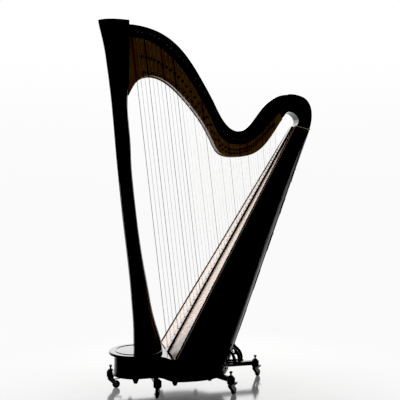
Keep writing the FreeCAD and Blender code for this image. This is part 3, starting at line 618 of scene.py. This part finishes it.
def fork_disc(points):
    """One fork disc: bevelled plate, slotted centre screw and two rounded pins."""
    low, high = points.min(0), points.max(0)
    radius = (high[0] - low[0]) / 2
    thick = 0.003
    pin = 0.0013 - 0.119 * (0.008 - radius)
    long = high[1] - low[1]
    profile = [(radius * 0.94, 0), (radius, 0.0004), (radius, thick - 0.0007), (radius * 0.90, thick)]
    plate = lathe(profile, 32)
    solids = [(plate, Matrix(), 0)]
    for solid in slotted_head(radius * 0.40, 0.0011, radius * 0.10):
        solids.append((solid, Matrix.Translation((0, 0, thick)) @ Matrix.Rotation(0.6, 4, "Z"), 1))
    for side in (-1, 1):
        spot = side * (radius - pin - 0.0003)
        post = lathe([(pin, 0), (pin, thick), (pin, long - pin * 0.8), (pin * 0.8, long - pin * 0.3),
                      (pin * 0.4, long)], 14)
        solids.append((post, Matrix.Translation((spot, 0, 0)), 1))
    centre = Vector(((low[0] + high[0]) / 2, high[1], (low[2] + high[2]) / 2))
    place = Matrix.Translation(centre) @ Matrix.Rotation(math.radians(90), 4, "X")
    return solids, place, centre, radius


def make_discs():
    """Both rows of fork discs, and their spindle nuts on the right-hand plate."""
    nuts = Shape()
    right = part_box("action_plate_right")[1].y
    for kind in ("natural", "sharp"):
        for node, body in ((kind + "_discs", "harp"), (kind + "_disc_c", kind + "_disc")):
            shape = Shape()
            for points in islands(node):
                solids, place, centre, radius = fork_disc(points)
                for solid, local, slot in solids:
                    shape.add(solid, place @ local, slot)
                at = (centre.x, right, centre.z)
                nuts.add(lathe([(radius * 0.62, 0), (radius * 0.62, 0.0007), (radius * 0.5, 0.0011)], 24),
                         toward((0, 1, 0), at))
                for solid in slotted_head(radius * 0.36, 0.0016, radius * 0.1):
                    nuts.add(solid, toward((0, 1, 0), (centre.x, right + 0.0009, centre.z), centre.x * 31))
            shape.build(node + "_turned", body, [DISC, NICKEL], "gold_brass", (node,))
    nuts.build("spindle_screws", "harp", [DISC], "gold_brass")


# ---------------------------------------------------- base, pedals and dolly
def loft(rings):
    """A solid skinned over rings of points that all have the same count."""
    count = len(rings[0])
    points = [point for ring in rings for point in ring]
    faces = []
    for ring in range(len(rings) - 1):
        for step in range(count):
            a = ring * count + step
            b = ring * count + (step + 1) % count
            faces.append((a, b, b + count, a + count))
    faces.append(tuple(reversed(range(count))))
    last = (len(rings) - 1) * count
    faces.append(tuple(range(last, last + count)))
    return points, faces


def closed_tube(path, radius, sides=8):
    """A round bead laid along a closed list of points."""
    count = len(path)
    points = []
    faces = []
    for index, spot in enumerate(path):
        run = (path[(index + 1) % count] - path[index - 1]).normalized()
        side = run.cross(BOARD_IN).normalized()
        for step in range(sides):
            angle = 2 * math.pi * step / sides
            points.append(spot + side * (radius * math.cos(angle)) + BOARD_IN * (radius * math.sin(angle)))
    for index in range(count):
        for step in range(sides):
            a = index * sides + step
            b = index * sides + (step + 1) % sides
            c = ((index + 1) % count) * sides + (step + 1) % sides
            d = ((index + 1) % count) * sides + step
            faces.append((a, b, c, d))
    return points, faces


BOARD_UP = Vector((math.sin(TILT), 0, math.cos(TILT)))
BOARD_IN = Vector((math.cos(TILT), 0, -math.sin(TILT)))
BOARD_LOW = Vector((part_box("soundboard")[0].x, 0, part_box("base_lid")[1].z))
BOARD_LENGTH = 1.392
JOINT_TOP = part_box("edge_mouldings")[1].z - 0.004
SOUND_HOLES = ((0.330, 0.165, 0.052), (0.560, 0.145, 0.046), (0.780, 0.125, 0.040),
               (0.985, 0.105, 0.034), (1.170, 0.085, 0.027))


def board_spot(up, across, inward=0.0):
    return BOARD_LOW + BOARD_UP * up + Vector((0, across, 0)) + BOARD_IN * inward


def board_half(up):
    return 0.200 - 0.164 * up / BOARD_LENGTH


def back_depth(up, across):
    """How far behind the soundboard the shell's outside lies."""
    front = 0.006
    deep = 0.332 - 0.229 * up / BOARD_LENGTH - front
    cosine = (abs(across) / board_half(up)) ** (1 / 0.86)
    return front + deep * math.sqrt(max(0.0, 1 - cosine * cosine)) ** 0.94


def moulding_width(up):
    return 0.0165 - 0.0112 * up / BOARD_LENGTH


def make_board_trim():
    """Pale purfling lines inside both mouldings."""
    lines = Shape()
    for side in (-1, 1):
        rings = []
        for step in range(25):
            up = 0.004 + 1.376 * step / 24
            wide = moulding_width(up)
            outer = board_half(up) - wide - 0.0022
            inner = outer - 0.0022
            ring = [board_spot(up, side * outer, 0.0004), board_spot(up, side * outer, -0.0003),
                    board_spot(up, side * inner, -0.0003), board_spot(up, side * inner, 0.0004)]
            rings.append(ring if side > 0 else ring[::-1])
        lines.add(loft(rings))
    lines.build("board_purfling", "harp", [PURFLING], "beech")


def make_mouldings():
    """Rounded hardwood mouldings along both edges of the soundboard."""
    edges = Shape()
    for side in (-1, 1):
        rings = []
        top = (JOINT_TOP - BOARD_LOW.z) / BOARD_UP.z
        for step in range(33):
            up = 0.001 + (top - 0.001) * step / 32
            outer = board_half(up)
            wide = moulding_width(up)
            ring = []
            for share, rise in ((0, -0.0002), (0, 0.0020), (0.10, 0.0032), (0.30, 0.0040), (0.60, 0.0038),
                                (0.85, 0.0028), (1.0, 0.0012), (1.0, -0.0002)):
                ring.append(board_spot(up, side * (outer - wide * share), -rise))
            rings.append(ring if side < 0 else ring[::-1])
        edges.add(loft(rings))
    edges.build("edge_mouldings_rounded", "harp", [MOULDING], "brown_lacquer", ("edge_mouldings",))


def make_hole_rims():
    """Rounded beads round the five sound holes in the back."""
    rims = Shape()
    for up, length, half in SOUND_HOLES:
        straight = length / 2 - half
        path = []
        for step in range(56):
            angle = 2 * math.pi * step / 56
            reach = straight if math.cos(angle) > 0 else -straight
            high = up + reach + half * math.cos(angle)
            across = half * math.sin(angle)
            path.append(board_spot(high, across, back_depth(high, across) + 0.0015))
        rims.add(closed_tube(path, 0.0020, 8))
    rims.build("sound_hole_rims", "harp", [LACQUER], "black_lacquer")


def make_plinth_ring():
    """The raised bead round the top of the plinth."""
    low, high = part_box("plinth")
    section = [(0.1035, -0.0004), (0.1090, -0.0004), (0.1090, 0.0012), (0.1075, 0.0026),
               (0.1050, 0.0026), (0.1035, 0.0012)]
    ring = Shape()
    ring.add(ring_lathe(section), Matrix.Translation(((low.x + high.x) / 2, 0, high.z)))
    ring.build("plinth_ring", "harp", [LACQUER], "black_lacquer")


def plate_lift(share):
    """How far a foot plate's middle line stands off its chord, from knuckle to tip."""
    return -0.005 * math.sin(math.pi * share) + 0.013 * share ** 2.4


def make_pedal_plates():
    """Bent foot plates with a hooked tip, grip ribs, knuckles and a headed pin."""
    lean = Matrix.Rotation(math.radians(-108), 4, "Y")
    for letter in "dcbefga":
        low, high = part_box("pedal_arm_" + letter)
        place = Matrix.Translation((high.x - 0.007, (low.y + high.y) / 2, (low.z + high.z) / 2)) @ lean
        shape = Shape()
        rings = []
        for step in range(15):
            share = step / 14
            along = 0.010 + 0.076 * share
            lift = plate_lift(share)
            thick = 0.0082 - 0.0026 * share
            wide = 0.0100 + 0.0030 * math.sin(math.pi * min(1.0, share * 0.72 + 0.1))
            if step == 14:
                thick, wide = thick * 0.55, wide * 0.8
            ring = []
            for corner in range(12):
                angle = 2 * math.pi * corner / 12
                y = wide * math.copysign(abs(math.cos(angle)) ** 0.45, math.cos(angle))
                z = lift + thick * math.copysign(abs(math.sin(angle)) ** 0.7, math.sin(angle))
                ring.append((along, y, z))
            rings.append(ring)
        shape.add(loft(rings), place)
        for rib in range(4):
            share = 0.40 + 0.13 * rib
            along = 0.010 + 0.076 * share
            top = plate_lift(share) - 0.0078 + 0.0026 * share
            bead = tube([(along, -0.009, top + 0.0004), (along, 0, top), (along, 0.009, top + 0.0004)],
                        0.0009, 8)
            shape.add(bead, place)
        for side in (-1, 1):
            ear = lathe([(0.0064, 0), (0.0070, 0.0006), (0.0070, 0.0044), (0.0064, 0.0050)], 28)
            shape.add(ear, place @ toward((0, side, 0), (0, side * 0.0048, 0)))
            web = extruded([(0.0, -0.0045), (0.0135, -0.0030), (0.0135, 0.0030), (0.0, 0.0045)],
                           0.0048, 0.0096, 0.0006, 1)
            flat = Matrix.Rotation(math.radians(90), 4, "X")
            shape.add(web, place @ (flat if side < 0 else flat @ Matrix.Scale(-1, 4, (0, 0, 1))))
            head = lathe([(0.0036, 0), (0.0036, 0.0008), (0.0026, 0.0016), (0.0010, 0.0019)], 20)
            shape.add(head, place @ toward((0, side, 0), (0, side * 0.0097, 0)), 1)
        shape.build("pedal_plate_bent_" + letter, "pedal_plate_" + letter, [CAP, GILT],
                    "gold_brass", ("pedal_tip_" + letter,))


CASTER_YAW = {"front_right": 7.0, "front_left": 84.0, "rear_left": 45.0, "rear_right": 43.0}


def make_casters():
    """Tyres on spoked hubs, axle nuts, and the bearing ring over each fork."""
    for name, yaw in CASTER_YAW.items():
        low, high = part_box("caster_wheel_" + name)
        centre = (low + high) / 2
        turn = math.radians(yaw)
        axle = Vector((-math.sin(turn), math.cos(turn), 0))
        place = toward(axle, centre)
        wheel = Shape()
        tyre = [(0.0150, -0.0064), (0.0176, -0.0074), (0.0192, -0.0062), (0.0199, -0.0034), (0.01995, 0),
                (0.0199, 0.0034), (0.0192, 0.0062), (0.0176, 0.0074), (0.0150, 0.0064)]
        wheel.add(ring_lathe(tyre, 56), place, 0)
        hub = [(0.00310, -0.0078), (0.0060, -0.0078), (0.0068, -0.0070), (0.0072, -0.0046), (0.0130, -0.0040),
               (0.0142, -0.0060), (0.0156, -0.0060), (0.0156, 0.0060), (0.0142, 0.0060), (0.0130, 0.0040),
               (0.0072, 0.0046), (0.0068, 0.0070), (0.0060, 0.0078), (0.00310, 0.0078)]
        wheel.add(ring_lathe(hub, 48), place, 1)
        for spoke in range(6):
            arm = extruded([(0.0066, -0.0008), (0.0138, -0.0006), (0.0138, 0.0006), (0.0066, 0.0008)],
                           -0.0056, 0.0056, 0.0003, 1)
            wheel.add(arm, place @ Matrix.Rotation(math.radians(60 * spoke), 4, "Z"), 1)
        wheel.build("caster_wheel_spoked_" + name, "wheel_" + name, [TYRE, HUB], "black_rubber",
                    ("caster_wheel_" + name,))
        metal = Shape()
        for side in (-1, 1):
            nut = lathe([(0.0050, 0), (0.0054, 0.0004), (0.0054, 0.0022), (0.0048, 0.0028)], 6)
            metal.add(nut, toward(axle * side, centre + axle * side * 0.0107))
        metal.build("axle_nuts_" + name, "swivel_" + name, [ZINC], "dark_steel")
        middle = Vector((centre.x - 0.030 * math.cos(turn), centre.y - 0.030 * math.sin(turn), 0.0601))
        race = Shape()
        section = [(0.0065, 0), (0.0135, 0), (0.0142, 0.0006), (0.0142, 0.0013), (0.0135, 0.0018),
                   (0.0065, 0.0018)]
        race.add(ring_lathe(section, 40), Matrix.Translation(middle))
        race.build("swivel_race_" + name, "swivel_" + name, [ZINC], "dark_steel")


def make_bolts():
    """Hexagon bolts that hold the cross arms to the dolly's beam."""
    bolts = Shape()
    low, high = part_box("dolly_beam")
    for x in (0.017, 0.250):
        for shift in (-0.020, 0.020):
            spot = Vector((COLUMN_FOOT_X + x + shift, low.y, (low.z + high.z) / 2))
            washer = lathe([(0.0068, 0), (0.0070, 0.0003), (0.0070, 0.0010), (0.0066, 0.0012)], 24)
            bolts.add(washer, toward((0, -1, 0), spot))
            head = lathe([(0.0050, 0.0010), (0.0052, 0.0013), (0.0052, 0.0042), (0.0044, 0.0050)], 6)
            bolts.add(head, toward((0, -1, 0), spot, x * 9))
            far = Vector((spot.x, high.y, spot.z))
            bolts.add(washer, toward((0, 1, 0), far))
            bolts.add(head, toward((0, 1, 0), far, x * 7))
    bolts.build("beam_bolts", "harp", [ZINC], "dark_steel")


def make_plate_screws():
    """Countersunk slotted screws round the edge of both action plates."""
    screws = Shape()
    spots = ((-0.092, 1.835), (-0.092, 1.600), (0.030, 1.802), (0.020, 1.672), (0.150, 1.712), (0.150, 1.604),
             (0.262, 1.560), (0.262, 1.492), (0.352, 1.398), (0.348, 1.345), (0.498, 1.292), (0.498, 1.254),
             (0.640, 1.365), (0.640, 1.318), (0.730, 1.462))
    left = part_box("action_plate_left")[0].y
    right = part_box("action_plate_right")[1].y
    for x, z in spots:
        for face, way in ((left, -1), (right, 1)):
            for solid in slotted_head(0.0042, 0.0012, 0.0009):
                screws.add(solid, toward((0, way, 0), (x + COLUMN_FOOT_X, face, z), x * 23))
    screws.build("plate_screws", "harp", [NICKEL], "gold_brass")


make_strings()
make_pins()
make_discs()
make_board_trim()
make_mouldings()
make_hole_rims()
make_plinth_ring()
make_pedal_plates()
make_casters()
make_bolts()
make_plate_screws()


# -------------------------------------------------------------------- stage
HEADING = math.radians(14.5)
AHEAD = Vector((math.sin(HEADING), math.cos(HEADING), 0))
BACKDROP_LIGHT = 0.955


def make_floor():
    """A glossy floor that fades into the backdrop behind the harp, and all round it for the camera; the
    camera sees it darkest close to the harp, a painted shadow pool that fades outward.
    """
    mesh = bpy.data.meshes.new("studio_floor")
    far = 14.0
    corners = [Vector((x, y, 0)) for x, y in ((-far, -far), (far, -far), (far, far), (-far, far))]
    mesh.from_pydata(corners, [], [(0, 1, 2, 3)])
    floor = bpy.data.objects.new("studio_floor", mesh)
    floor.rotation_euler = (0, 0, -HEADING)
    bpy.context.scene.collection.objects.link(floor)
    r = Recipe("studio_floor")
    away = r.node("SeparateXYZ")
    r.link(r.place, away.inputs[0])
    cloud = r.noise(1.3, 4, 0.5)
    r.finish(r.ramp(cloud, (0.3, (0.195, 0.195, 0.192)), (0.7, (0.215, 0.215, 0.212))),
             r.spread(cloud, 0.11, 0.16), 0.80, r.bump(r.noise(60, 2, 0.5), 0.02, 0.001),
             Emission_Color=(1, 1, 1, 1), Emission_Strength=0.10)
    cove = r.node("Emission")
    cove.inputs["Strength"].default_value = BACKDROP_LIGHT
    fade = r.node("MixShader")
    # Painted shadow: for camera rays the floor is darkest within 0.30 m of the harp and brightens to the
    # backdrop by 1.45 m.
    reach = r.node("VectorMath", operation="LENGTH")
    r.link(r.place, reach.inputs[0])
    painted_shadow_fade = r.node("MapRange", interpolation_type="SMOOTHSTEP")
    r.link(reach.outputs["Value"], painted_shadow_fade.inputs["Value"])
    painted_shadow_fade.inputs["From Min"].default_value = 0.30
    painted_shadow_fade.inputs["From Max"].default_value = 1.45
    behind = r.spread(away.outputs["Y"], 0.0, 1.0, 0.55, 1.25)
    seen = r.node("LightPath").outputs["Is Camera Ray"]
    share = r.maths("ADD", r.maths("MULTIPLY", seen, painted_shadow_fade.outputs["Result"]),
                    r.maths("MULTIPLY", r.maths("SUBTRACT", 1.0, seen), behind))
    r.link(share, fade.inputs[0])
    r.link(r.shader.outputs[0], fade.inputs[1])
    r.link(cove.outputs[0], fade.inputs[2])
    r.link(fade.outputs[0], r.tree.nodes["Material Output"].inputs["Surface"])
    mesh.materials.append(r.material)


def make_world():
    """A pale backdrop for the camera, and light that comes from behind the harp."""
    world = bpy.data.worlds.new("studio")
    bpy.context.scene.world = world
    world.use_nodes = True
    tree = world.node_tree
    new, link = tree.nodes.new, tree.links.new
    background = tree.nodes["Background"]
    background.inputs["Color"].default_value = (1, 1, 1, 1)
    where = new("ShaderNodeTexCoord").outputs["Generated"]

    def along(direction, start, end, low, high):
        dot = new("ShaderNodeVectorMath")
        dot.operation = "DOT_PRODUCT"
        dot.inputs[1].default_value = direction
        link(where, dot.inputs[0])
        spread = new("ShaderNodeMapRange")
        spread.interpolation_type = "SMOOTHSTEP"
        link(dot.outputs["Value"], spread.inputs["Value"])
        for key, value in (("From Min", start), ("From Max", end), ("To Min", low), ("To Max", high)):
            spread.inputs[key].default_value = value
        return spread.outputs["Result"]

    def combine(operation, a, b):
        made = new("ShaderNodeMath")
        made.operation = operation
        for socket, value in zip(made.inputs, (a, b)):
            if isinstance(value, bpy.types.NodeSocket):
                link(value, socket)
            else:
                socket.default_value = value
        return made.outputs[0]

    light = along(AHEAD, 0.30, 0.96, 0.05, 2.4)
    seen = new("ShaderNodeLightPath").outputs["Is Camera Ray"]
    backdrop = along((0, 0, 1), 0.0, 0.30, BACKDROP_LIGHT, 1.01)
    shown = combine("MULTIPLY", seen, backdrop)
    hidden = combine("MULTIPLY", combine("SUBTRACT", 1.0, seen), light)
    link(combine("ADD", shown, hidden), background.inputs["Strength"])


def make_lights():
    """Two soft lamps above and behind the harp on its left."""
    for name, spot, target, size, power in (
        ("overhead_softbox", (-0.6, 1.6, 3.4), (0, 0, 0.9), 2.4, 18),
        ("back_left_softbox", (-2.3, 1.8, 1.45), (0.1, 0, 0.95), 0.9, 62),
    ):
        lamp = bpy.data.lights.new(name, "AREA")
        lamp.shape = "SQUARE"
        lamp.size = size
        lamp.energy = power
        obj = bpy.data.objects.new(name, lamp)
        obj.location = spot
        obj.rotation_euler = (Vector(target) - Vector(spot)).to_track_quat("-Z", "Y").to_euler()
        obj.visible_glossy = False
        obj.visible_camera = False
        bpy.context.scene.collection.objects.link(obj)


def make_camera():
    """A level camera on the harp's string side."""
    data = bpy.data.cameras.new("camera")
    data.sensor_width = 36.0
    data.lens = 55.8
    data.shift_y = -0.0125
    camera = bpy.data.objects.new("camera", data)
    camera.location = (-0.8846, -3.2438, 1.029)
    camera.rotation_euler = (math.radians(90), 0, -HEADING)
    bpy.context.scene.collection.objects.link(camera)
    bpy.context.scene.camera = camera


make_floor()
make_world()
make_lights()
make_camera()
view = bpy.context.scene.view_settings
view.view_transform = "Standard"
view.use_curve_mapping = True
view.curve_mapping.black_level = (0.012, 0.012, 0.012)
view.curve_mapping.update()
